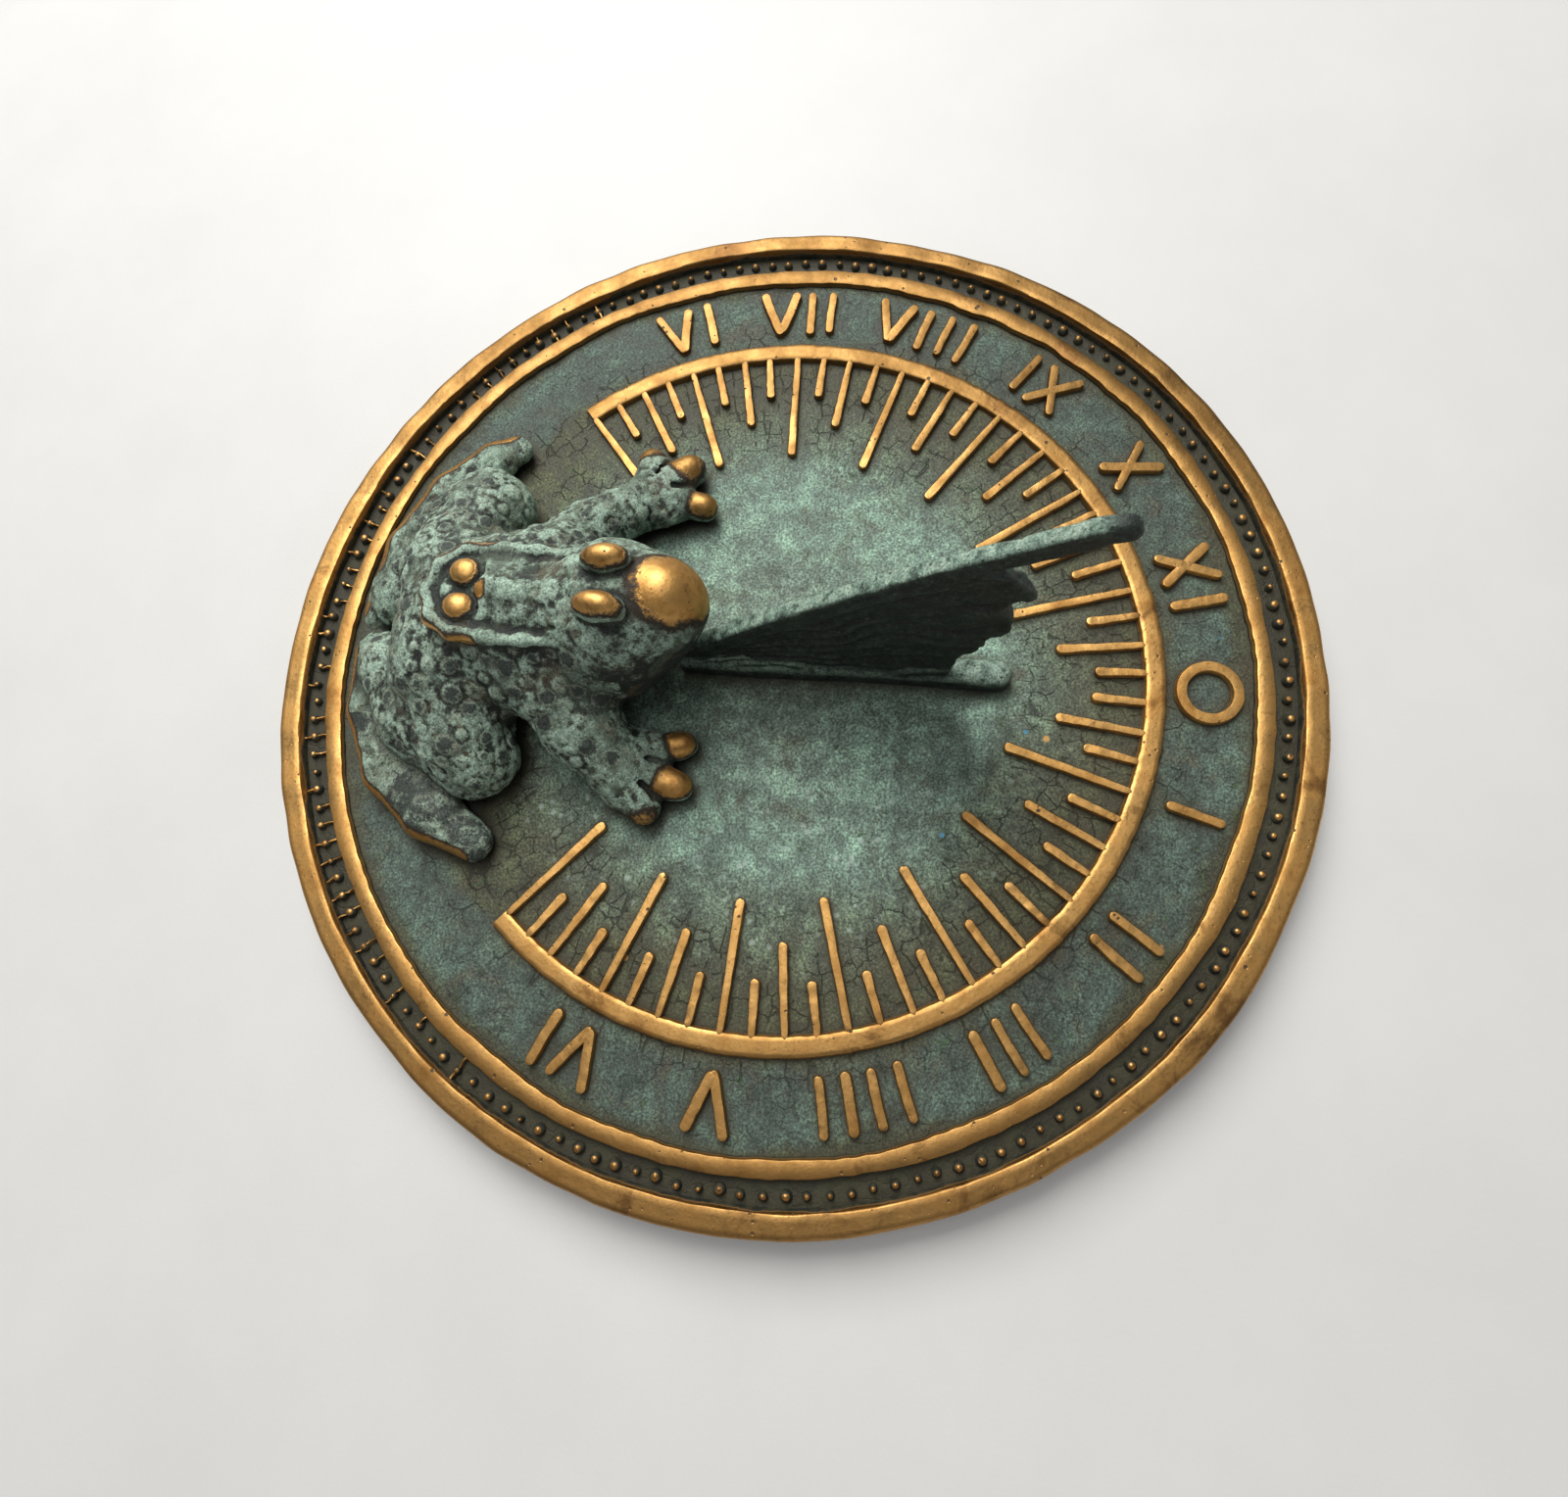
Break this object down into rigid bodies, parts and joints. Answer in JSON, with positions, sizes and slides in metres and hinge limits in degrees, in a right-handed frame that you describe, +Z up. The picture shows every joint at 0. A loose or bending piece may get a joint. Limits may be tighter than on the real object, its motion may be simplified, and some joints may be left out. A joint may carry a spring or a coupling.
{
  "type": "garden sundial",
  "caption": "Round cast brass garden sundial with raised hour lines and numerals, a crouching frog and a bladed gnomon rising from its mouth.",
  "frame": {"origin": "centre of the dial, in the plane that its foot ring rests on", "axes": "+Z up, +Y towards noon (true north in use), +X towards the afternoon hours"},
  "size_m": [0.254, 0.254, 0.0849],
  "materials": {
    "dial_brass": "satin brass, hand rubbed on the raised work",
    "dial_patina": "matt verdigris and dark olive patina on the ground",
    "frog_patina": "pale verdigris with dark pits, rubbed bright on nose, eyes and toes",
    "gnomon_patina": "dark green patina, pale verdigris on the style",
    "screw_steel": "zinc plated"
  },
  "bodies": {
    "root": {"dial_plate": "dial_brass", "gnomon": "gnomon_patina", "frog": "frog_patina", "gnomon_screw_south": "screw_steel", "gnomon_screw_north": "screw_steel", "frog_screw_chest": "screw_steel", "frog_screw_rump": "screw_steel", "gnomon_lock_washer_south": "screw_steel", "gnomon_lock_washer_north": "screw_steel", "frog_lock_washer_chest": "screw_steel", "frog_lock_washer_rump": "screw_steel"}
  },
  "joints": []
}
